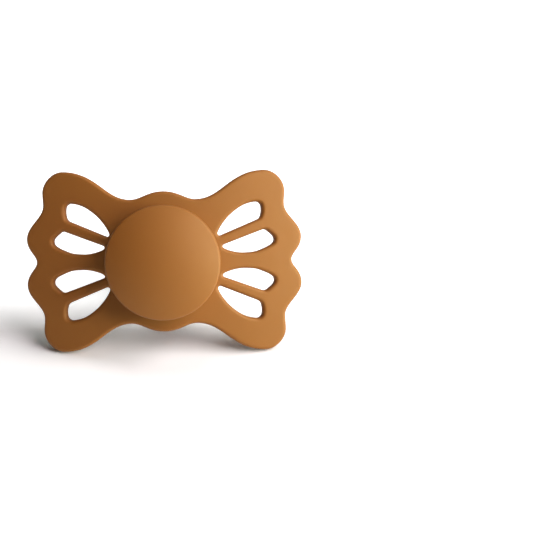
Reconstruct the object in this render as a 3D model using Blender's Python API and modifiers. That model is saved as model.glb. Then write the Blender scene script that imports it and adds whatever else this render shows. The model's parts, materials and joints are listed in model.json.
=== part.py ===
"""Baby's pacifier with a butterfly-shaped shield, a silicone teat, an inner plug and a round knob.

Everything is first laid out in the pacifier's own frame: X along the shield's long side, Y up
the shield, and Z along the teat's axis, positive towards the knob.  The whole assembly then
leans back until the two lower corner lobes and the teat's bulb touch the ground, which is
how the pacifier stands by itself.
"""
import math

import bmesh
import bpy
import numpy as np
from mathutils import Vector

MM = 0.001

# Driving dimensions, in millimetres.
HALF_THICKNESS = 1.12       # half of the shield's thickness
EDGE_RADIUS = 0.5           # rounding of the shield's rim and of its hole edges
LONG_BEND = 80.0            # the shield curves towards the face along its long side
SHORT_BEND = 170.0          # and a little along its short side
PAD_RADIUS = 11.8           # flat pad under the knob
HUB_RADIUS = 9.9            # upstand on the pad that the knob snaps over
HUB_TOP = 4.0
BEAD_RADIUS = 10.3          # snap bead round the hub
BEAD_MIDDLE = 2.9
RECESS_RADIUS = 8.3         # pocket in the hub for the teat's flange
BORE_RADIUS = 4.0           # hole that the teat passes through
COLLAR_RADIUS = 4.9         # low collar round the teat on the baby's side
COLLAR_HEIGHT = 0.5
KNOB_RADIUS = 12.0
KNOB_TOP = 9.15
KNOB_LAND = 3.0             # small flat at the middle of the dome
DOME_RADIUS = 29.0
KNOB_EDGE = 0.6             # round-over between dome and side
KNOB_WALL = 1.8
FLANGE_RADIUS = 7.9         # both flanges that are clamped under the knob
FLANGE_THICKNESS = 1.2
STEM_RADIUS = 3.7           # teat where it passes through the shield
STEM_BORE = 2.9
TEAT_WALL = 1.5
PLUG_RADIUS = 2.6
PLUG_REACH = 3.6            # how far the plug reaches into the teat
VENT_RADIUS = 0.8
HINGE_HEIGHT = 2.6          # where the teat starts to bend, above the shield's middle surface
FIT_GAP = 0.3               # clearance between touching pieces
TEAT_WIDEST = 23.9
BULB_RADIUS = 7.48
TEAT_LENGTH = 32.95

# Spacing of the points along the shield's rim and holes, and the sides of a round piece.
RIM_SPACING = 1.9
HOLE_SPACING = 1.35
ROUND_STEPS = 40

# Curve nodes: x, y, heading in degrees, handle before, handle after.
OUTLINE_QUARTER = (
    (26.87, 0.0, 90, 1.0, 1.4),
    (29.0, 4.85, 90, 2.5, 2.9),
    (25.4, 11.85, 90, 2.45, 1.2),
    (25.55, 14.6, 90, 1.0, 2.3),
    (21.3, 19.05, 180, 2.05, 7.25),
    (6.8, 13.05, 180, 5.5, 2.15),
    (0.0, 14.75, 180, 3.3, 1.0),
)
UPPER_PETAL = (
    (11.3, 5.7, -88, 0.5, 0.25),
    (11.95, 5.35, 22, 0.4, 2.0),
    (19.6, 8.5, 22, 2.2, 0.8),
    (20.65, 10.1, 80, 1.0, 0.4),
    (20.65, 11.3, 95, 0.4, 0.7),
    (19.4, 12.35, 187, 0.6, 2.0),
    (14.2, 9.85, 221, 2.6, 2.1),
)
LOWER_PETAL = (
    (12.3, 3.0, 90, 0.4, 0.3),
    (13.0, 3.55, 20, 0.4, 2.0),
    (20.6, 6.35, 20, 2.0, 0.6),
    (21.9, 6.15, -42, 0.5, 0.9),
    (23.35, 4.3, -92, 0.8, 0.8),
    (20.7, 2.3, 202, 2.1, 1.1),
    (17.2, 1.65, 182, 2.0, 2.4),
)
# The same kind of nodes for the teat's side: height over the shield, radius, heading, handles.
TEAT_SIDE = (
    (HINGE_HEIGHT, 4.25, 3, 1.0, 4.0),
    (13.8, 4.62, 0, 4.0, 3.4),
    (TEAT_WIDEST, BULB_RADIUS, 0, 3.4, 5.0),
    (TEAT_LENGTH, 0.0, -90, 4.13, 1.0),
)

MUSTARD = (0.372, 0.136, 0.030, 1.0)
MUSTARD_PLUG = (0.310, 0.110, 0.028, 1.0)
SILICONE = (0.560, 0.565, 0.600, 1.0)


# ---------------------------------------------------------------- curves and profiles

def curve_through(nodes, spacing, closed):
    """Evenly spaced points on the smooth curve through the nodes."""
    dense = []
    pairs = list(zip(nodes, nodes[1:] + nodes[:1] if closed else nodes[1:]))
    for start, end in pairs:
        p0 = Vector(start[:2])
        p3 = Vector(end[:2])
        p1 = p0 + start[4] * Vector((math.cos(math.radians(start[2])), math.sin(math.radians(start[2]))))
        p2 = p3 - end[3] * Vector((math.cos(math.radians(end[2])), math.sin(math.radians(end[2]))))
        for step in range(60):
            t = step / 60
            u = 1 - t
            dense.append(u**3 * p0 + 3 * u * u * t * p1 + 3 * u * t * t * p2 + t**3 * p3)
    dense.append(Vector(nodes[0 if closed else -1][:2]))
    dense = np.array(dense)
    lengths = np.concatenate([[0], np.cumsum(np.hypot(*np.diff(dense, axis=0).T))])
    count = round(lengths[-1] / spacing)
    stops = np.linspace(0, lengths[-1], count + 1)
    points = np.column_stack([np.interp(stops, lengths, dense[:, axis]) for axis in (0, 1)])
    return points[:-1] if closed else points


def moved_sideways(points, distance):
    """A closed loop moved to its left-hand side by the distance."""
    ahead = np.roll(points, -1, axis=0) - np.roll(points, 1, axis=0)
    ahead /= np.hypot(*ahead.T)[:, None]
    return points + distance * np.column_stack([-ahead[:, 1], ahead[:, 0]])


def arc(centre_r, centre_z, radius, start, end, steps):
    """Points on an arc, with angles in degrees from the outward direction."""
    angles = np.radians(np.linspace(start, end, steps + 1))
    return [(centre_r + radius * math.cos(a), centre_z + radius * math.sin(a)) for a in angles]


# ---------------------------------------------------------------- object helpers

def clear_scene():
    for obj in list(bpy.data.objects):
        bpy.data.objects.remove(obj, do_unlink=True)


def new_collection(name):
    collection = bpy.data.collections.new(name)
    bpy.context.scene.collection.children.link(collection)
    return collection


def material(name, colour, roughness):
    made = bpy.data.materials.new(name)
    made.use_nodes = True
    shader = made.node_tree.nodes["Principled BSDF"]
    shader.inputs["Base Color"].default_value = colour
    shader.inputs["Roughness"].default_value = roughness
    shader.inputs["Metallic"].default_value = 0.0
    return made


def turned(name, profile, steps, collection, closed=False, base=0.0):
    """A body of revolution about Z, from (radius, z) points in millimetres."""
    mesh = bpy.data.meshes.new(name)
    points = [(r * MM, 0.0, (z - base) * MM) for r, z in profile]
    edges = [(i, i + 1) for i in range(len(points) - 1)]
    if closed:
        edges.append((len(points) - 1, 0))
    mesh.from_pydata(points, edges, [])
    obj = bpy.data.objects.new(name, mesh)
    collection.objects.link(obj)
    screw = obj.modifiers.new("turn", "SCREW")
    screw.axis = "Z"
    screw.steps = steps
    screw.render_steps = steps
    screw.use_merge_vertices = True
    screw.merge_threshold = 0.00001
    screw.use_smooth_shade = True
    obj.location.z = base * MM
    return obj


def add_boolean(obj, tool, operation):
    cut = obj.modifiers.new(operation.lower(), "BOOLEAN")
    cut.operation = operation
    cut.solver = "EXACT"
    cut.object = tool
    tool.hide_render = True
    tool.display_type = "WIRE"


# ---------------------------------------------------------------- shield

def outline_loop(spacing):
    quarter = curve_through(OUTLINE_QUARTER, spacing, closed=False)
    back = quarter[::-1]
    left = np.column_stack([-back[:, 0], back[:, 1]])
    upper = np.vstack([quarter, left[1:]])
    lower = -upper
    return np.vstack([upper[:-1], lower[:-1]])


def hole_loops(spacing):
    loops = []
    for petal in (UPPER_PETAL, LOWER_PETAL):
        loop = curve_through(petal, spacing, closed=True)
        for side_x in (1, -1):
            for side_y in (1, -1):
                loops.append(loop * (side_x, side_y))
    return loops


def area(loop):
    x, y = loop.T
    return 0.5 * float(np.sum(x * np.roll(y, -1) - np.roll(x, -1) * y))


def rim_curve(loop, is_hole):
    """The centre line of the rounded rim, inside the material beside the visible edge."""
    turns_left = area(loop) > 0
    towards_material = EDGE_RADIUS if turns_left != is_hole else -EDGE_RADIUS
    return moved_sideways(loop, towards_material)


def flat_plate():
    """A flat plate with the full outline, the eight petal holes and rounded edges."""
    curve = bpy.data.curves.new("plate", "CURVE")
    curve.dimensions = "2D"
    curve.fill_mode = "BOTH"
    curve.bevel_depth = EDGE_RADIUS * MM
    curve.extrude = (HALF_THICKNESS - EDGE_RADIUS) * MM
    curve.bevel_resolution = 1
    loops = [rim_curve(outline_loop(RIM_SPACING), False)]
    loops += [rim_curve(loop, True) for loop in hole_loops(HOLE_SPACING)]
    for loop in loops:
        spline = curve.splines.new("POLY")
        spline.points.add(len(loop) - 1)
        spline.use_cyclic_u = True
        for point, (x, y) in zip(spline.points, loop):
            point.co = (x * MM, y * MM, 0.0, 1.0)
    obj = bpy.data.objects.new("plate", curve)
    bpy.context.scene.collection.objects.link(obj)
    depsgraph = bpy.context.evaluated_depsgraph_get()
    mesh = bpy.data.meshes.new_from_object(obj.evaluated_get(depsgraph))
    bpy.data.objects.remove(obj, do_unlink=True)
    return mesh


def slice_faces(bm, normal, offsets):
    """Cut the plate's two flat faces along parallel lines, so that they can bend."""
    for offset in offsets:
        flat = [face for face in bm.faces if abs(face.normal.z) > 0.999]
        edges = {edge for face in flat for edge in face.edges}
        verts = {vert for face in flat for vert in face.verts}
        bmesh.ops.bisect_plane(bm, geom=flat + list(edges) + list(verts), dist=1e-7,
                               plane_co=Vector(normal) * offset * MM, plane_no=normal)


def bend(bm):
    """Lay the flat plate on the dished middle surface, keeping its thickness."""
    for vert in bm.verts:
        x, y, height = vert.co
        slope_x = x / (LONG_BEND * MM)
        slope_y = y / (SHORT_BEND * MM)
        middle = Vector((x, y, -(x * slope_x + y * slope_y) / 2))
        vert.co = middle + height * Vector((slope_x, slope_y, 1.0)).normalized()


def make_shield(collection, cutters):
    mesh = flat_plate()
    bm = bmesh.new()
    bm.from_mesh(mesh)
    bmesh.ops.remove_doubles(bm, verts=bm.verts, dist=0.00001)
    slice_faces(bm, (1, 0, 0), range(-24, 25, 4))
    slice_faces(bm, (0, 1, 0), range(-12, 13, 6))
    bend(bm)
    bmesh.ops.recalc_face_normals(bm, faces=bm.faces)
    bm.to_mesh(mesh)
    bm.free()
    mesh.name = "shield"
    shield = bpy.data.objects.new("shield", mesh)
    collection.objects.link(shield)
    hub = turned("hub_form", hub_profile(), ROUND_STEPS, cutters)
    pocket = turned("pocket_form", pocket_profile(), ROUND_STEPS, cutters)
    add_boolean(shield, hub, "UNION")
    add_boolean(shield, pocket, "DIFFERENCE")
    mesh.shade_smooth()
    mesh.set_sharp_from_angle(angle=math.radians(35))
    return shield, (hub, pocket)


def hub_profile():
    """Pad, upstand with its snap bead, and the collar on the baby's side."""
    inside_plate = -0.5
    collar_end = -HALF_THICKNESS - COLLAR_HEIGHT
    return [
        (0.0, HUB_TOP),
        (HUB_RADIUS, HUB_TOP),
        (HUB_RADIUS, BEAD_MIDDLE + 0.4),
        (BEAD_RADIUS, BEAD_MIDDLE),
        (HUB_RADIUS, BEAD_MIDDLE - 0.4),
        (HUB_RADIUS, HALF_THICKNESS),
        (PAD_RADIUS, HALF_THICKNESS),
        (PAD_RADIUS, inside_plate),
        (COLLAR_RADIUS, inside_plate),
        (COLLAR_RADIUS, collar_end + 0.3),
        (COLLAR_RADIUS - 0.3, collar_end),
        (0.0, collar_end),
    ]


def pocket_profile():
    above = HUB_TOP + 1.0
    below = -HALF_THICKNESS - COLLAR_HEIGHT - 1.0
    return [
        (0.0, above),
        (RECESS_RADIUS, above),
        (RECESS_RADIUS, HALF_THICKNESS),
        (BORE_RADIUS, HALF_THICKNESS),
        (BORE_RADIUS, below),
        (0.0, below),
    ]


# ---------------------------------------------------------------- knob, plug and teat

def make_knob(collection):
    """Domed cap: a dome with a rounded edge, a skirt that snaps on the hub, and a pressing ring."""
    skirt_end = HALF_THICKNESS + FIT_GAP
    land_drop = DOME_RADIUS - math.sqrt(DOME_RADIUS**2 - KNOB_LAND**2)
    dome_centre = KNOB_TOP + land_drop - DOME_RADIUS
    edge_centre_r = KNOB_RADIUS - KNOB_EDGE
    edge_angle = math.degrees(math.acos(edge_centre_r / (DOME_RADIUS - KNOB_EDGE)))
    edge_centre_z = dome_centre + (DOME_RADIUS - KNOB_EDGE) * math.sin(math.radians(edge_angle))
    land_angle = math.degrees(math.acos(KNOB_LAND / DOME_RADIUS))
    skirt_bore = HUB_RADIUS + FIT_GAP
    corner = skirt_bore - 0.6

    def ceiling(r):
        return dome_centre + math.sqrt((DOME_RADIUS - KNOB_WALL)**2 - r**2)

    ring_end = HUB_TOP + 0.1 + FIT_GAP
    profile = [(0.0, KNOB_TOP)]
    profile += arc(0.0, dome_centre, DOME_RADIUS, land_angle, edge_angle, 4)
    profile += arc(edge_centre_r, edge_centre_z, KNOB_EDGE, edge_angle, 0, 5)[1:]
    profile += [
        (KNOB_RADIUS - 0.2, skirt_end),
        (skirt_bore, skirt_end),
        (skirt_bore, BEAD_MIDDLE - 0.5),
        (BEAD_RADIUS + FIT_GAP, BEAD_MIDDLE),
        (skirt_bore, BEAD_MIDDLE + 0.5),
        (skirt_bore, ceiling(corner) - 0.6),
        (corner, ceiling(corner)),
        (6.0, ceiling(6.0)),
        (6.0, ring_end),
        (4.6, ring_end),
        (4.6, ceiling(4.6)),
        (0.0, ceiling(0.0)),
    ]
    return turned("knob", profile, ROUND_STEPS, collection)


def make_plug(collection):
    """Flanged plug that presses the teat's flange to the shield, with an air vent through it."""
    flange_end = HALF_THICKNESS + FIT_GAP + FLANGE_THICKNESS + FIT_GAP
    top = flange_end + FLANGE_THICKNESS
    profile = [
        (VENT_RADIUS, top),
        (FLANGE_RADIUS, top),
        (FLANGE_RADIUS, flange_end),
        (PLUG_RADIUS, flange_end),
        (PLUG_RADIUS, 0.6 - PLUG_REACH),
    ]
    profile += arc(PLUG_RADIUS - 0.6, 0.6 - PLUG_REACH, 0.6, 0, -90, 3)[1:]
    profile.append((VENT_RADIUS, -PLUG_REACH))
    return turned("plug", profile, ROUND_STEPS, collection, closed=True)


def teat_wall():
    """Radii and heights of the teat's outer side and of its hollow, from the shield to the tip."""
    outer = curve_through(TEAT_SIDE, 1.7, closed=False)
    inner_nodes = []
    for height, radius, heading, before, after in TEAT_SIDE:
        at_tip = radius == 0.0
        inner_nodes.append((height - (TEAT_WALL if at_tip else 0.0),
                            0.0 if at_tip else radius - TEAT_WALL, heading, before, after))
    inner = curve_through(tuple(inner_nodes), 2.4, closed=False)
    return outer, inner


def make_teat(collection):
    """Hollow silicone teat, open through its flange; its origin is where it starts to bend."""
    outer, inner = teat_wall()
    flange_low = HALF_THICKNESS + FIT_GAP
    flange_top = flange_low + FLANGE_THICKNESS
    shoulder = 0.55
    profile = [(r, -z) for z, r in inner[::-1] if z > PLUG_REACH + FIT_GAP]
    profile += [
        (STEM_BORE, -PLUG_REACH - FIT_GAP),
        (STEM_BORE, flange_top),
        (FLANGE_RADIUS, flange_top),
        (FLANGE_RADIUS, flange_low),
        (STEM_RADIUS, flange_low),
        (STEM_RADIUS, shoulder - HINGE_HEIGHT),
    ]
    profile += arc(STEM_RADIUS, -HINGE_HEIGHT, shoulder, 90, 0, 3)[1:-1]
    profile += [(r, -z) for z, r in outer]
    profile[-1] = (0.0, -TEAT_LENGTH)
    profile[0] = (0.0, profile[0][1])
    return turned("teat", profile, ROUND_STEPS, collection, base=-HINGE_HEIGHT)


# ---------------------------------------------------------------- standing pose

def lean_angle():
    """The backward lean at which the lower lobes and the bulb touch the ground together."""
    lobe = max(rim_curve(outline_loop(0.2), False), key=lambda point: point[1])
    lobe_depth = lobe[0]**2 / (2 * LONG_BEND) + lobe[1]**2 / (2 * SHORT_BEND)
    tip_half = TEAT_LENGTH - TEAT_WIDEST
    low, high = 0.1, 1.2
    for _ in range(50):
        lean = (low + high) / 2
        c, s = math.cos(lean), math.sin(lean)
        lobe_drop = c * lobe[1] + s * (lobe_depth + HALF_THICKNESS - EDGE_RADIUS) + EDGE_RADIUS
        bulb_drop = s * TEAT_WIDEST + math.hypot(c * BULB_RADIUS, s * tip_half)
        low, high = (lean, high) if bulb_drop < lobe_drop else (low, lean)
    return lean


def box_of(parts):
    depsgraph = bpy.context.evaluated_depsgraph_get()
    corners = []
    for part in parts:
        evaluated = part.evaluated_get(depsgraph)
        corners += [evaluated.matrix_world @ vert.co for vert in evaluated.data.vertices]
    corners = np.array(corners)
    return corners.min(axis=0), corners.max(axis=0)


def stand_up(parts, tools, lean):
    """Hang everything on one empty, lean it back and put its box's bottom centre at the origin."""
    frame = bpy.data.objects.new("pacifier_frame", None)
    parts[0].users_collection[0].objects.link(frame)
    for obj in parts + tools:
        obj.parent = frame
    frame.rotation_euler = (math.pi / 2 - lean, 0.0, 0.0)
    bpy.context.view_layer.update()
    low, high = box_of(parts)
    frame.location = (-(low[0] + high[0]) / 2, -(low[1] + high[1]) / 2, -low[2])
    bpy.context.view_layer.update()


def main():
    clear_scene()
    collection = new_collection("pacifier")
    cutters = new_collection("forms")
    shield, forms = make_shield(collection, cutters)
    knob = make_knob(collection)
    plug = make_plug(collection)
    teat = make_teat(collection)
    satin = material("mustard_plastic", MUSTARD, 0.42)
    shield.data.materials.append(satin)
    knob.data.materials.append(satin)
    plug.data.materials.append(material("plug_plastic", MUSTARD_PLUG, 0.5))
    teat.data.materials.append(material("clear_silicone", SILICONE, 0.3))
    stand_up([shield, knob, plug, teat], list(forms), lean_angle())


main()
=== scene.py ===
"""Looks of a butterfly-shield pacifier: the satin shield and knob, the plug and the silicone teat.

Every piece is modelled in the pacifier's own frame, in millimetres: X along the shield's long
side, Y up the shield, Z along the teat's axis and positive towards the knob.  `own_frame` then
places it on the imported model, which stands leaning back on its lower lobes and its teat.
"""
import json
import math

import bmesh
import bpy
import numpy as np
from mathutils import Matrix, Vector


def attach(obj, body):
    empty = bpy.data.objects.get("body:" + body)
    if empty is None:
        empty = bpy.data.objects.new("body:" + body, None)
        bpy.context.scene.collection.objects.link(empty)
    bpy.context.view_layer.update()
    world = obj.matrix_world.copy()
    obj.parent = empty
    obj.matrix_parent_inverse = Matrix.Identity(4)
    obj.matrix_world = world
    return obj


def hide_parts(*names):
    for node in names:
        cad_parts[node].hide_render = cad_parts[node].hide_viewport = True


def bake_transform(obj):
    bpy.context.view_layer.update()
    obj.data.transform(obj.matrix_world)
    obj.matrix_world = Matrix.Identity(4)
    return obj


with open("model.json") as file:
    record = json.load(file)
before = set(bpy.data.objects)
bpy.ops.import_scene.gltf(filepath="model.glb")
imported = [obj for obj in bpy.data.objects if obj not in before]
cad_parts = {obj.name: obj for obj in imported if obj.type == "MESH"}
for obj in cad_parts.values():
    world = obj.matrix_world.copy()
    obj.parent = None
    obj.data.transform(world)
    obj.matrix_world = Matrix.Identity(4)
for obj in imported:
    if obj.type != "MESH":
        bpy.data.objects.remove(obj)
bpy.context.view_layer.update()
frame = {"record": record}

MM = 0.001

# Shield: the plate, its dish and its rounded rims.
HALF_THICKNESS = 1.12
EDGE_RADIUS = 0.7
LONG_BEND = 80.0
SHORT_BEND = 170.0
CURVE_STEPS = 80
RIM_SPACING = 0.4
HOLE_SPACING = 0.28
RIM_ROUNDING_STEPS = 5
SLICE_PITCH = 0.9
SLICE_REACH_X = 28
SLICE_REACH_Y = 18
# Shield: the pad and upstand under the knob, and the collar round the teat.
PAD_RADIUS = 11.8
PAD_ROUNDING = 0.15
HUB_RADIUS = 9.9
HUB_TOP = 4.0
HUB_ROUNDING = 0.2
BEAD_RADIUS = 10.3
BEAD_MIDDLE = 2.9
BEAD_HALF_HEIGHT = 0.4
RECESS_RADIUS = 8.3
BORE_RADIUS = 3.8
INSIDE_PLATE = -0.5
COLLAR_FOOT = 5.3
COLLAR_RADIUS = 4.75
COLLAR_HEIGHT = 0.5
COLLAR_LIP = 0.3
COLLAR_SPACING = 0.12
COLLAR_STEP = 0.04
COLLAR_ROUNDING = 0.25
CUT_MARGIN = 1.0
CUT_OVERLAP = 0.5
# Knob.
KNOB_RADIUS = 12.0
KNOB_TOP = 9.15
KNOB_CROWN = 0.05
DOME_RADIUS = 29.0
KNOB_EDGE = 0.6
KNOB_WALL = 1.8
KNOB_DRAFT = 0.2
SKIRT_CLEARANCE = 0.12
SKIRT_ROUNDING = 0.2
GROOVE_HALF_HEIGHT = 0.5
CEILING_CORNER = 0.6
RING_OUTSIDE = 6.0
RING_INSIDE = 4.6
RING_OVER_HUB = 0.1
# Teat and plug.
FLANGE_RADIUS = 7.9
FLANGE_THICKNESS = 1.2
STEM_RADIUS = 3.7
STEM_BORE = 2.9
TEAT_WALL = 1.5
TEAT_START = 2.25
TEAT_WIDEST = 23.9
BULB_RADIUS = 7.48
TEAT_LENGTH = 32.95
TEAT_SPACING = 0.45
HOLLOW_SPACING = 0.6
HOLLOW_PAST_PLUG = 0.9
STEM_PAST_PLUG = 0.4
PLUG_RADIUS = 2.6
PLUG_REACH = 3.6
PLUG_NOSE = 0.8
VENT_RADIUS = 0.8
VENT_ROUNDING = 0.2
FIT_GAP = 0.3
ROUND_STEPS = 144
MERGE_DISTANCE = 1e-4
CREASE_ANGLE = 38
TEAT_CREASE_ANGLE = 50

# Finishes: noise scales are per metre, depths and radii in metres.
MUSTARD_LIGHT = (0.248, 0.085, 0.0120, 1.0)
MUSTARD_DARK = (0.232, 0.0775, 0.0106, 1.0)
SHIELD_ROUGHNESS = 0.60
KNOB_ROUGHNESS = 0.56
PLUG_ROUGHNESS = 0.5
PIGMENT_SCALE = 90.0
SATIN_SCALE = 420.0
MOULD_TEXTURE_SCALE = 5200.0
MOULD_TEXTURE_STRENGTH = 0.12
TEXTURE_DEPTH = 0.00004
SUBSURFACE_RADII = (0.0022, 0.0010, 0.0004)
SILICONE_LIGHT = (0.725, 0.74, 0.78, 1.0)
SILICONE_DARK = (0.705, 0.72, 0.76, 1.0)
SILICONE_CLOUD_SCALE = 120.0
HAZE_SCALE = 300.0
SILICONE_TEXTURE_SCALE = 2600.0
SILICONE_TEXTURE_STRENGTH = 0.05

# Stage, in metres.
FLOOR_HALF_SIZE = 1.5
FLOOR_SQUARES = 8
PAPER_WHITE = (0.93, 0.93, 0.93, 1.0)
PURE_WHITE = (1.0, 1.0, 1.0, 1.0)
FILL_STRENGTH = 0.03
GLOW_START = 0.045
GLOW_FULL = 0.13
GLOW = 0.3
FAR_FULL = 0.45
FAR_GLOW = 0.8
BEHIND_START = -0.006
BEHIND_FULL = 0.007
BEHIND_GLOW = 0.5

# Softboxes: name, azimuth, elevation, width, height, power, colour.
LIGHT_DISTANCE = 0.9
SIDE_COLOUR = (0.94, 1.20, 1.03)
KEY_COLOUR = (1.0, 0.94, 0.95)
FRONT_COLOUR = (1.0, 0.78, 0.80)
BACK_COLOUR = (1.0, 1.0, 1.0)
SOFTBOXES = (
    ("low_side_light", 75.0, 6.0, 0.5, 0.2, 7.4, SIDE_COLOUR),
    ("key", 65.0, 38.0, 0.7, 0.7, 9.6, KEY_COLOUR),
    ("high_side_light", 95.0, 45.0, 0.4, 0.4, 2.5, KEY_COLOUR),
    ("front_light", 40.0, 40.0, 0.4, 0.4, 1.2, FRONT_COLOUR),
    ("back_light", 180.0, 70.0, 0.4, 0.4, 2.0, BACK_COLOUR),
)

# Camera: lens and sensor in millimetres, distance in metres, angles in degrees.
LENS = 120.8
SENSOR = 36.0
NEAREST_SEEN = 0.01
CAMERA_DISTANCE = 0.3772
CAMERA_RIGHT = 2.17
CAMERA_ABOVE = 2.14
CAMERA_ROLL = 0.83
CAMERA_PAN = 3.29
CAMERA_TILT = 0.16

# Curve nodes: x, y, heading in degrees, handle before, handle after.
OUTLINE_QUARTER = (
    (26.87, 0.0, 90, 1.0, 1.4),
    (29.0, 4.85, 90, 2.5, 2.9),
    (25.4, 11.85, 90, 2.45, 1.2),
    (25.55, 14.6, 90, 1.0, 2.3),
    (21.3, 19.05, 180, 2.05, 7.25),
    (6.8, 13.05, 180, 5.5, 2.15),
    (0.0, 14.75, 180, 3.3, 1.0),
)
UPPER_PETAL = (
    (11.3, 5.7, -88, 0.5, 0.25),
    (11.95, 5.35, 22, 0.4, 2.0),
    (19.6, 8.5, 22, 2.2, 0.8),
    (20.65, 10.1, 80, 1.0, 0.4),
    (20.65, 11.3, 95, 0.4, 0.7),
    (19.4, 12.35, 187, 0.6, 2.0),
    (14.2, 9.85, 221, 2.6, 2.1),
)
LOWER_PETAL = (
    (12.3, 3.0, 90, 0.4, 0.3),
    (13.0, 3.55, 20, 0.4, 2.0),
    (20.6, 6.35, 20, 2.0, 0.6),
    (21.9, 6.15, -42, 0.5, 0.9),
    (23.35, 4.3, -92, 0.8, 0.8),
    (20.7, 2.3, 202, 2.1, 1.1),
    (17.2, 1.65, 182, 2.0, 2.4),
)
# The same kind of nodes for the teat's side: height over the shield, radius, heading, handles.
TEAT_SIDE = (
    (TEAT_START, 4.2, 8, 0.5, 3.0),
    (13.8, 4.62, 0, 4.0, 3.4),
    (TEAT_WIDEST, BULB_RADIUS, 0, 3.4, 5.0),
    (TEAT_LENGTH, 0.0, -90, 4.13, 1.0),
)


# ---------------------------------------------------------------- placing

def own_frame():
    """Matrix from the pacifier's own frame, in millimetres, to the row frame, in metres."""
    mount = next(m for m in frame["record"]["mounts"] if m["name"] == "knob_face")
    outward = Vector(mount["axis"]).normalized()
    sideways = Vector((1.0, 0.0, 0.0))
    upward = outward.cross(sideways)
    origin = Vector(mount["pos_m"]) - outward * KNOB_TOP * MM
    turn = Matrix((sideways, upward, outward)).transposed().to_4x4()
    return Matrix.Translation(origin) @ turn @ Matrix.Scale(MM, 4)


PLACE = own_frame()


def piece_from(bm, name):
    """A finished piece in place, with its object at the origin."""
    mesh = bpy.data.meshes.new(name)
    bm.transform(PLACE)
    bm.to_mesh(mesh)
    bm.free()
    obj = bpy.data.objects.new(name, mesh)
    bpy.context.scene.collection.objects.link(obj)
    return obj


def smooth_with_creases(obj, degrees):
    obj.data.shade_smooth()
    obj.data.set_sharp_from_angle(angle=math.radians(degrees))


# ---------------------------------------------------------------- curves and turning

def heading(degrees):
    return Vector((math.cos(math.radians(degrees)), math.sin(math.radians(degrees))))


def curve_through(nodes, spacing, closed):
    """Evenly spaced points on the smooth curve through the nodes."""
    dense = []
    for start, end in zip(nodes, nodes[1:] + nodes[:1] if closed else nodes[1:]):
        p0 = Vector(start[:2])
        p3 = Vector(end[:2])
        p1 = p0 + start[4] * heading(start[2])
        p2 = p3 - end[3] * heading(end[2])
        for step in range(CURVE_STEPS):
            t = step / CURVE_STEPS
            u = 1 - t
            dense.append(u**3 * p0 + 3 * u * u * t * p1 + 3 * u * t * t * p2 + t**3 * p3)
    dense.append(Vector(nodes[0 if closed else -1][:2]))
    dense = np.array(dense)
    lengths = np.concatenate([[0], np.cumsum(np.hypot(*np.diff(dense, axis=0).T))])
    stops = np.linspace(0, lengths[-1], round(lengths[-1] / spacing) + 1)
    points = np.column_stack([np.interp(stops, lengths, dense[:, axis]) for axis in (0, 1)])
    return points[:-1] if closed else points


def moved_sideways(points, distance):
    """A closed loop moved to its left-hand side by the distance."""
    ahead = np.roll(points, -1, axis=0) - np.roll(points, 1, axis=0)
    ahead /= np.hypot(*ahead.T)[:, None]
    return points + distance * np.column_stack([-ahead[:, 1], ahead[:, 0]])


def arc(centre_r, centre_z, radius, start, end, steps=8):
    """Points on an arc, with angles in degrees from the outward direction."""
    angles = np.radians(np.linspace(start, end, steps + 1))
    return [(centre_r + radius * math.cos(a), centre_z + radius * math.sin(a)) for a in angles]


def turned(profile, closed=False):
    """A bmesh turned about Z from (radius, height) points."""
    bm = bmesh.new()
    verts = [bm.verts.new((r, 0.0, z)) for r, z in profile]
    pairs = list(zip(verts, verts[1:]))
    if closed:
        pairs.append((verts[-1], verts[0]))
    edges = [bm.edges.new(pair) for pair in pairs]
    bmesh.ops.spin(bm, geom=verts + edges, cent=(0, 0, 0), axis=(0, 0, 1), angle=math.tau,
                   steps=ROUND_STEPS, use_merge=True, use_normal_flip=False, use_duplicate=False)
    bmesh.ops.remove_doubles(bm, verts=bm.verts, dist=MERGE_DISTANCE)
    bmesh.ops.recalc_face_normals(bm, faces=bm.faces)
    return bm


# ---------------------------------------------------------------- shield

def outline_loop():
    quarter = curve_through(OUTLINE_QUARTER, RIM_SPACING, closed=False)
    left = quarter[::-1] * (-1, 1)
    upper = np.vstack([quarter, left[1:]])
    return np.vstack([upper[:-1], -upper[:-1]])


def hole_loops():
    loops = []
    for petal in (UPPER_PETAL, LOWER_PETAL):
        loop = curve_through(petal, HOLE_SPACING, closed=True)
        loops += [loop * (side_x, side_y) for side_x in (1, -1) for side_y in (1, -1)]
    return loops


def area(loop):
    x, y = loop.T
    return 0.5 * float(np.sum(x * np.roll(y, -1) - np.roll(x, -1) * y))


def rim_line(loop, is_hole):
    """The centre line of the rounded rim, inside the material beside the visible edge."""
    turns_left = area(loop) > 0
    return moved_sideways(loop, EDGE_RADIUS if turns_left != is_hole else -EDGE_RADIUS)


def evaluated_mesh(obj):
    """The mesh that a curve or a modified object works out to."""
    return bpy.data.meshes.new_from_object(obj.evaluated_get(bpy.context.evaluated_depsgraph_get()))


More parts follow.
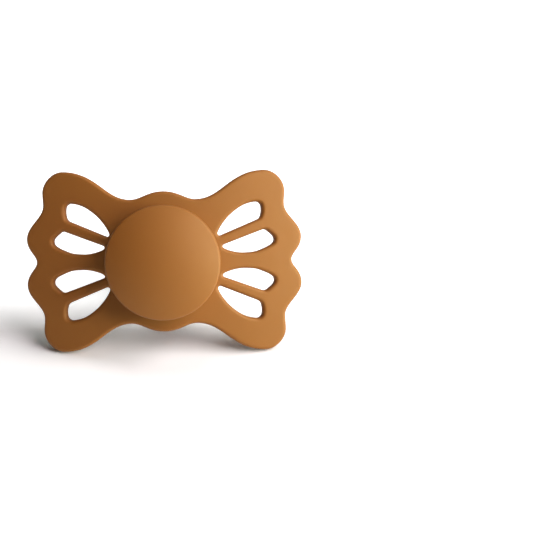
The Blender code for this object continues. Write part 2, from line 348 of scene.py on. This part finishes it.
def flat_plate():
    """The flat plate with its full outline, eight petal holes and rounded edges."""
    curve = bpy.data.curves.new("plate_outline", "CURVE")
    curve.dimensions = "2D"
    curve.fill_mode = "BOTH"
    curve.bevel_depth = EDGE_RADIUS
    curve.bevel_resolution = RIM_ROUNDING_STEPS
    curve.extrude = HALF_THICKNESS - EDGE_RADIUS
    rims = [rim_line(outline_loop(), is_hole=False)]
    rims += [rim_line(hole, is_hole=True) for hole in hole_loops()]
    for loop in rims:
        spline = curve.splines.new("POLY")
        spline.points.add(len(loop) - 1)
        spline.use_cyclic_u = True
        for point, (x, y) in zip(spline.points, loop):
            point.co = (x, y, 0.0, 1.0)
    obj = bpy.data.objects.new("plate_outline", curve)
    bpy.context.scene.collection.objects.link(obj)
    mesh = evaluated_mesh(obj)
    bpy.data.objects.remove(obj, do_unlink=True)
    bm = bmesh.new()
    bm.from_mesh(mesh)
    bmesh.ops.remove_doubles(bm, verts=bm.verts, dist=1e-3)
    return bm


def slice_faces(bm, normal, reach):
    """Cut the two flat faces along parallel lines, so that they bend smoothly."""
    count = int(reach / SLICE_PITCH)
    for step in range(-count, count + 1):
        flat = [face for face in bm.faces if abs(face.normal.z) > 0.9999]
        edges = {edge for face in flat for edge in face.edges}
        verts = {vert for face in flat for vert in face.verts}
        bmesh.ops.bisect_plane(bm, geom=flat + list(edges) + list(verts), dist=MERGE_DISTANCE,
                               plane_co=Vector(normal) * step * SLICE_PITCH, plane_no=normal)


def bend(bm):
    """Lay the flat plate on the dished middle surface, keeping its thickness."""
    for vert in bm.verts:
        x, y, height = vert.co
        slope_x = x / LONG_BEND
        slope_y = y / SHORT_BEND
        middle = Vector((x, y, -(x * slope_x + y * slope_y) / 2))
        vert.co = middle + height * Vector((slope_x, slope_y, 1.0)).normalized()


def hub_profile():
    """Pad, upstand with its snap bead, and a collar that swells softly on the baby's side."""
    collar_end = -HALF_THICKNESS - COLLAR_HEIGHT
    hub_corner = HUB_RADIUS - HUB_ROUNDING
    pad_corner = PAD_RADIUS - PAD_ROUNDING
    profile = [(0.0, HUB_TOP), (hub_corner, HUB_TOP)]
    profile += arc(hub_corner, HUB_TOP - HUB_ROUNDING, HUB_ROUNDING, 90, 0, 3)[1:]
    profile += [(HUB_RADIUS, BEAD_MIDDLE + BEAD_HALF_HEIGHT), (BEAD_RADIUS, BEAD_MIDDLE),
                (HUB_RADIUS, BEAD_MIDDLE - BEAD_HALF_HEIGHT)]
    profile += [(HUB_RADIUS, HALF_THICKNESS), (pad_corner, HALF_THICKNESS)]
    profile += arc(pad_corner, HALF_THICKNESS - PAD_ROUNDING, PAD_ROUNDING, 90, 0, 3)[1:]
    profile += [(PAD_RADIUS, INSIDE_PLATE), (COLLAR_FOOT, INSIDE_PLATE), (COLLAR_FOOT, -HALF_THICKNESS)]
    swell = ((COLLAR_FOOT, -HALF_THICKNESS - COLLAR_STEP, 200, 0.3, 0.3),
             (COLLAR_RADIUS - COLLAR_ROUNDING, collar_end, 180, 0.3, 0.3))
    profile += [tuple(point) for point in curve_through(swell, COLLAR_SPACING, closed=False)]
    profile += arc(BORE_RADIUS + COLLAR_LIP, collar_end + COLLAR_LIP, COLLAR_LIP, -90, -180, 5)
    profile += [(BORE_RADIUS - CUT_OVERLAP, collar_end + COLLAR_LIP), (0.0, collar_end + COLLAR_LIP)]
    return profile


def pocket_profile():
    """The room for the flanges in the upstand, and the bore for the teat's stem."""
    above = HUB_TOP + CUT_MARGIN
    below = -HALF_THICKNESS - COLLAR_HEIGHT - CUT_MARGIN
    return [(0.0, above), (RECESS_RADIUS, above), (RECESS_RADIUS, HALF_THICKNESS),
            (BORE_RADIUS, HALF_THICKNESS), (BORE_RADIUS, below), (0.0, below)]


def join_by_boolean(target, tool, operation):
    """Add or cut a turned form, and keep the result as the target's mesh."""
    cut = target.modifiers.new(operation.lower(), "BOOLEAN")
    cut.operation = operation
    cut.solver = "EXACT"
    cut.object = tool
    result = evaluated_mesh(target)
    target.modifiers.clear()
    target.data = result
    bpy.data.objects.remove(tool, do_unlink=True)


def make_shield():
    plate = flat_plate()
    slice_faces(plate, (1, 0, 0), SLICE_REACH_X)
    slice_faces(plate, (0, 1, 0), SLICE_REACH_Y)
    bend(plate)
    bmesh.ops.recalc_face_normals(plate, faces=plate.faces)
    shield = piece_from(plate, "butterfly_shield")
    join_by_boolean(shield, piece_from(turned(hub_profile()), "hub_form"), "UNION")
    join_by_boolean(shield, piece_from(turned(pocket_profile()), "pocket_form"), "DIFFERENCE")
    shield.data.name = "butterfly_shield"
    smooth_with_creases(shield, CREASE_ANGLE)
    return shield


# ---------------------------------------------------------------- knob, plug and teat

def make_knob():
    """Domed cap with a rounded edge, a skirt that snaps on the hub and a ring that presses the plug."""
    skirt_end = HALF_THICKNESS + SKIRT_CLEARANCE
    dome_top = KNOB_TOP + KNOB_CROWN
    dome_centre = dome_top - DOME_RADIUS
    edge_r = KNOB_RADIUS - KNOB_EDGE
    edge_angle = math.degrees(math.acos(edge_r / (DOME_RADIUS - KNOB_EDGE)))
    edge_z = dome_centre + (DOME_RADIUS - KNOB_EDGE) * math.sin(math.radians(edge_angle))
    bore = HUB_RADIUS + FIT_GAP
    corner = bore - CEILING_CORNER
    ring_end = HUB_TOP + RING_OVER_HUB + FIT_GAP
    foot = KNOB_RADIUS - KNOB_DRAFT

    def ceiling(r):
        """Height of the dome's inner side at a radius."""
        return dome_centre + math.sqrt((DOME_RADIUS - KNOB_WALL)**2 - r**2)

    profile = [(0.0, dome_top)]
    profile += arc(0.0, dome_centre, DOME_RADIUS, 89, edge_angle, 22)
    profile += arc(edge_r, edge_z, KNOB_EDGE, edge_angle, 0, 12)[1:]
    profile += [(foot, skirt_end + SKIRT_ROUNDING)]
    profile += arc(foot - SKIRT_ROUNDING, skirt_end + SKIRT_ROUNDING, SKIRT_ROUNDING, 0, -90, 4)[1:]
    profile += [(bore, skirt_end), (bore, BEAD_MIDDLE - GROOVE_HALF_HEIGHT),
                (BEAD_RADIUS + FIT_GAP, BEAD_MIDDLE), (bore, BEAD_MIDDLE + GROOVE_HALF_HEIGHT),
                (bore, ceiling(corner) - CEILING_CORNER), (corner, ceiling(corner)),
                (RING_OUTSIDE, ceiling(RING_OUTSIDE)), (RING_OUTSIDE, ring_end),
                (RING_INSIDE, ring_end), (RING_INSIDE, ceiling(RING_INSIDE)),
                (0.0, ceiling(0.0))]
    knob = piece_from(turned(profile), "domed_knob")
    smooth_with_creases(knob, CREASE_ANGLE)
    return knob


def make_plug():
    """Flanged plug with an air vent; its rounded nose shows through the base of the teat."""
    flange_end = HALF_THICKNESS + FIT_GAP + FLANGE_THICKNESS + FIT_GAP
    flange_top = flange_end + FLANGE_THICKNESS
    profile = [(VENT_RADIUS, flange_top), (FLANGE_RADIUS, flange_top),
               (FLANGE_RADIUS, flange_end), (PLUG_RADIUS, flange_end)]
    profile += arc(PLUG_RADIUS - PLUG_NOSE, PLUG_NOSE - PLUG_REACH, PLUG_NOSE, 0, -90)
    profile += arc(VENT_RADIUS + VENT_ROUNDING, VENT_ROUNDING - PLUG_REACH, VENT_ROUNDING, -90, -180, 3)
    plug = piece_from(turned(profile, closed=True), "inner_plug")
    smooth_with_creases(plug, CREASE_ANGLE)
    return plug


def teat_hollow():
    """The hollow's nodes: the outer side moved in by the wall, with a thicker tip."""
    nodes = []
    for height, radius, angle, before, after in TEAT_SIDE:
        at_tip = radius == 0.0
        nodes.append((height - (TEAT_WALL if at_tip else 0.0), 0.0 if at_tip else radius - TEAT_WALL,
                      angle, before, after))
    return tuple(nodes)


def make_teat():
    """Hollow silicone teat with a soft shoulder on the collar, a stem and a clamped flange."""
    flange_low = HALF_THICKNESS + FIT_GAP
    flange_top = flange_low + FLANGE_THICKNESS
    shoulder = TEAT_SIDE[0][1] - STEM_RADIUS
    outer = curve_through(TEAT_SIDE, TEAT_SPACING, closed=False)
    hollow = curve_through(teat_hollow(), HOLLOW_SPACING, closed=False)
    profile = [(r, -z) for z, r in hollow[::-1] if z > PLUG_REACH + HOLLOW_PAST_PLUG]
    profile += [(STEM_BORE, -PLUG_REACH - STEM_PAST_PLUG), (STEM_BORE, flange_top),
                (FLANGE_RADIUS, flange_top), (FLANGE_RADIUS, flange_low),
                (STEM_RADIUS, flange_low), (STEM_RADIUS, shoulder - TEAT_START)]
    profile += arc(STEM_RADIUS, -TEAT_START, shoulder, 90, 0)[1:-1]
    profile += [(r, -z) for z, r in outer]
    profile[0] = (0.0, profile[0][1])
    profile[-1] = (0.0, -TEAT_LENGTH)
    teat = piece_from(turned(profile), "silicone_teat")
    smooth_with_creases(teat, TEAT_CREASE_ANGLE)
    return teat


# ---------------------------------------------------------------- materials

def new_material(name):
    made = bpy.data.materials.new(name)
    made.use_nodes = True
    tree = made.node_tree
    return made, tree, tree.nodes["Principled BSDF"]


def object_noise(tree, scale, detail):
    """Noise on the piece's own coordinates, in metres."""
    place = tree.nodes.new("ShaderNodeTexCoord")
    noise = tree.nodes.new("ShaderNodeTexNoise")
    noise.inputs["Scale"].default_value = scale
    noise.inputs["Detail"].default_value = detail
    tree.links.new(place.outputs["Object"], noise.inputs["Vector"])
    return noise.outputs["Fac"]


def spread(tree, factor, low, high, start=0.3, full=0.7):
    """A value between low and high, as the factor goes from start to full."""
    scale = tree.nodes.new("ShaderNodeMapRange")
    scale.inputs["From Min"].default_value = start
    scale.inputs["From Max"].default_value = full
    scale.inputs["To Min"].default_value = low
    scale.inputs["To Max"].default_value = high
    tree.links.new(factor, scale.inputs["Value"])
    return scale.outputs["Result"]


def combined(tree, operation, first, second):
    """Two values put through one sum, product or comparison."""
    node = tree.nodes.new("ShaderNodeMath")
    node.operation = operation
    tree.links.new(first, node.inputs[0])
    tree.links.new(second, node.inputs[1])
    return node.outputs[0]


def seen_by_eye(tree):
    """One for what is seen, straight or through the silicone, and zero for light that is cast."""
    rays = tree.nodes.new("ShaderNodeLightPath")
    return combined(tree, "MAXIMUM", rays.outputs["Is Camera Ray"], rays.outputs["Is Transmission Ray"])


def mixed_colour(tree, factor, first, second):
    mix = tree.nodes.new("ShaderNodeMix")
    mix.data_type = "RGBA"
    mix.inputs["A"].default_value = first
    mix.inputs["B"].default_value = second
    tree.links.new(factor, mix.inputs["Factor"])
    return mix.outputs["Result"]


def fine_bump(tree, shader, height, strength, distance):
    bump = tree.nodes.new("ShaderNodeBump")
    bump.inputs["Strength"].default_value = strength
    bump.inputs["Distance"].default_value = distance
    tree.links.new(height, bump.inputs["Height"])
    tree.links.new(bump.outputs["Normal"], shader.inputs["Normal"])


def moulded_plastic(name, light, dark, roughness):
    """Satin polypropylene: faint clouding of the pigment and a fine eroded mould texture."""
    made, tree, shader = new_material(name)
    clouds = object_noise(tree, PIGMENT_SCALE, 3.0)
    tree.links.new(mixed_colour(tree, clouds, light, dark), shader.inputs["Base Color"])
    patches = object_noise(tree, SATIN_SCALE, 4.0)
    tree.links.new(spread(tree, patches, roughness - 0.03, roughness + 0.04), shader.inputs["Roughness"])
    grain = object_noise(tree, MOULD_TEXTURE_SCALE, 2.0)
    fine_bump(tree, shader, grain, MOULD_TEXTURE_STRENGTH, TEXTURE_DEPTH)
    shader.inputs["Specular IOR Level"].default_value = 0.55
    shader.inputs["Specular Tint"].default_value = (1.0, 0.88, 0.55, 1.0)
    shader.inputs["Subsurface Weight"].default_value = 0.12
    shader.inputs["Subsurface Radius"].default_value = SUBSURFACE_RADII
    shader.inputs["Subsurface Scale"].default_value = 1.0
    return made


def frosted_silicone():
    """Milky clear silicone that blurs what is behind it and keeps a soft gloss."""
    made, tree, shader = new_material("frosted_silicone")
    clouds = object_noise(tree, SILICONE_CLOUD_SCALE, 2.0)
    tint = mixed_colour(tree, clouds, SILICONE_LIGHT, SILICONE_DARK)
    tree.links.new(tint, shader.inputs["Base Color"])
    haze = object_noise(tree, HAZE_SCALE, 3.0)
    tree.links.new(spread(tree, haze, 0.34, 0.40), shader.inputs["Roughness"])
    grain = object_noise(tree, SILICONE_TEXTURE_SCALE, 2.0)
    fine_bump(tree, shader, grain, SILICONE_TEXTURE_STRENGTH, TEXTURE_DEPTH)
    shader.inputs["IOR"].default_value = 1.25
    shader.inputs["Transmission Weight"].default_value = 0.82
    shader.inputs["Coat Weight"].default_value = 0.3
    shader.inputs["Coat IOR"].default_value = 1.41
    shader.inputs["Coat Roughness"].default_value = 0.12
    return made


# ---------------------------------------------------------------- stage, lights and camera

def make_floor():
    """White paper with a glow away from and behind the object, so that only its near shadow shows."""
    bm = bmesh.new()
    bmesh.ops.create_grid(bm, x_segments=FLOOR_SQUARES, y_segments=FLOOR_SQUARES, size=FLOOR_HALF_SIZE)
    mesh = bpy.data.meshes.new("floor")
    bm.to_mesh(mesh)
    bm.free()
    floor = bpy.data.objects.new("floor", mesh)
    bpy.context.scene.collection.objects.link(floor)
    made, tree, shader = new_material("white_paper")
    shader.inputs["Base Color"].default_value = PAPER_WHITE
    shader.inputs["Roughness"].default_value = 0.9
    shader.inputs["Specular IOR Level"].default_value = 0.1
    shader.inputs["Emission Color"].default_value = PURE_WHITE
    place = tree.nodes.new("ShaderNodeTexCoord")
    distance = tree.nodes.new("ShaderNodeVectorMath")
    distance.operation = "LENGTH"
    tree.links.new(place.outputs["Object"], distance.inputs[0])
    depth = tree.nodes.new("ShaderNodeSeparateXYZ")
    tree.links.new(place.outputs["Object"], depth.inputs[0])
    near = spread(tree, distance.outputs["Value"], 0.0, GLOW, GLOW_START, GLOW_FULL)
    far = spread(tree, distance.outputs["Value"], 0.0, FAR_GLOW, GLOW_FULL, FAR_FULL)
    behind = spread(tree, depth.outputs["Y"], 0.0, BEHIND_GLOW, BEHIND_START, BEHIND_FULL)
    shown = combined(tree, "MULTIPLY", combined(tree, "ADD", far, behind), seen_by_eye(tree))
    tree.links.new(combined(tree, "ADD", near, shown), shader.inputs["Emission Strength"])
    mesh.materials.append(made)


def make_world():
    """White surroundings for what is seen, and a dim, even fill for the light that is cast."""
    world = bpy.data.worlds.new("studio")
    bpy.context.scene.world = world
    world.use_nodes = True
    tree = world.node_tree
    background = tree.nodes["Background"]
    background.inputs["Color"].default_value = PURE_WHITE
    strength = spread(tree, seen_by_eye(tree), FILL_STRENGTH, 1.0, 0.0, 1.0)
    tree.links.new(strength, background.inputs["Strength"])


def softbox(name, azimuth, elevation, width, height, power, colour):
    """An area light that faces the object; azimuth 0 is the knob's side, positive to the right."""
    light = bpy.data.lights.new(name, "AREA")
    light.shape = "RECTANGLE"
    light.size = width
    light.size_y = height
    light.energy = power
    light.color = colour
    obj = bpy.data.objects.new(name, light)
    bpy.context.scene.collection.objects.link(obj)
    a = math.radians(azimuth)
    e = math.radians(elevation)
    away = Vector((math.sin(a) * math.cos(e), -math.cos(a) * math.cos(e), math.sin(e)))
    target = PLACE.translation
    obj.location = target + away * LIGHT_DISTANCE
    obj.rotation_euler = (-away).to_track_quat("-Z", "Y").to_euler()


def make_camera():
    """A long lens just above and to the right of the knob's axis."""
    camera = bpy.data.cameras.new("camera")
    camera.lens = LENS
    camera.sensor_width = SENSOR
    camera.clip_start = NEAREST_SEEN
    obj = bpy.data.objects.new("camera", camera)
    bpy.context.scene.collection.objects.link(obj)
    turn = PLACE.to_3x3().normalized()
    right = math.radians(CAMERA_RIGHT)
    above = math.radians(CAMERA_ABOVE)
    roll = math.radians(CAMERA_ROLL)
    outward = turn @ Vector((math.sin(right) * math.cos(above), math.sin(above),
                             math.cos(right) * math.cos(above)))
    upward = turn @ Vector((math.sin(roll), math.cos(roll), 0.0))
    side = upward.cross(outward).normalized()
    upward = outward.cross(side)
    facing = Matrix((side, upward, outward)).transposed()
    pan = math.tan(math.radians(CAMERA_PAN))
    tilt = math.tan(math.radians(CAMERA_TILT))
    to_object = Vector((-pan, tilt, -1.0))
    facing = facing @ to_object.rotation_difference(Vector((0.0, 0.0, -1.0))).to_matrix()
    station = PLACE.translation + outward * CAMERA_DISTANCE
    obj.matrix_world = Matrix.Translation(station) @ facing.to_4x4()
    bpy.context.scene.camera = obj


def main():
    shield = make_shield()
    knob = make_knob()
    plug = make_plug()
    teat = make_teat()
    finishes = (
        (shield, moulded_plastic("satin_mustard", MUSTARD_LIGHT, MUSTARD_DARK, SHIELD_ROUGHNESS)),
        (knob, moulded_plastic("satin_mustard_knob", MUSTARD_LIGHT, MUSTARD_DARK, KNOB_ROUGHNESS)),
        (plug, moulded_plastic("plain_mustard", MUSTARD_DARK, MUSTARD_DARK, PLUG_ROUGHNESS)),
        (teat, frosted_silicone()),
    )
    for piece, finish in finishes:
        piece.data.materials.clear()
        piece.data.materials.append(finish)

    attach(shield, "shield_body")
    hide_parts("shield")
    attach(knob, "shield_body")
    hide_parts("knob")
    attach(plug, "shield_body")
    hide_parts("plug")
    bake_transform(teat)
    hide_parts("teat")

    make_floor()
    make_world()
    for setting in SOFTBOXES:
        softbox(*setting)
    make_camera()
    bpy.context.scene.view_settings.view_transform = "Standard"


main()
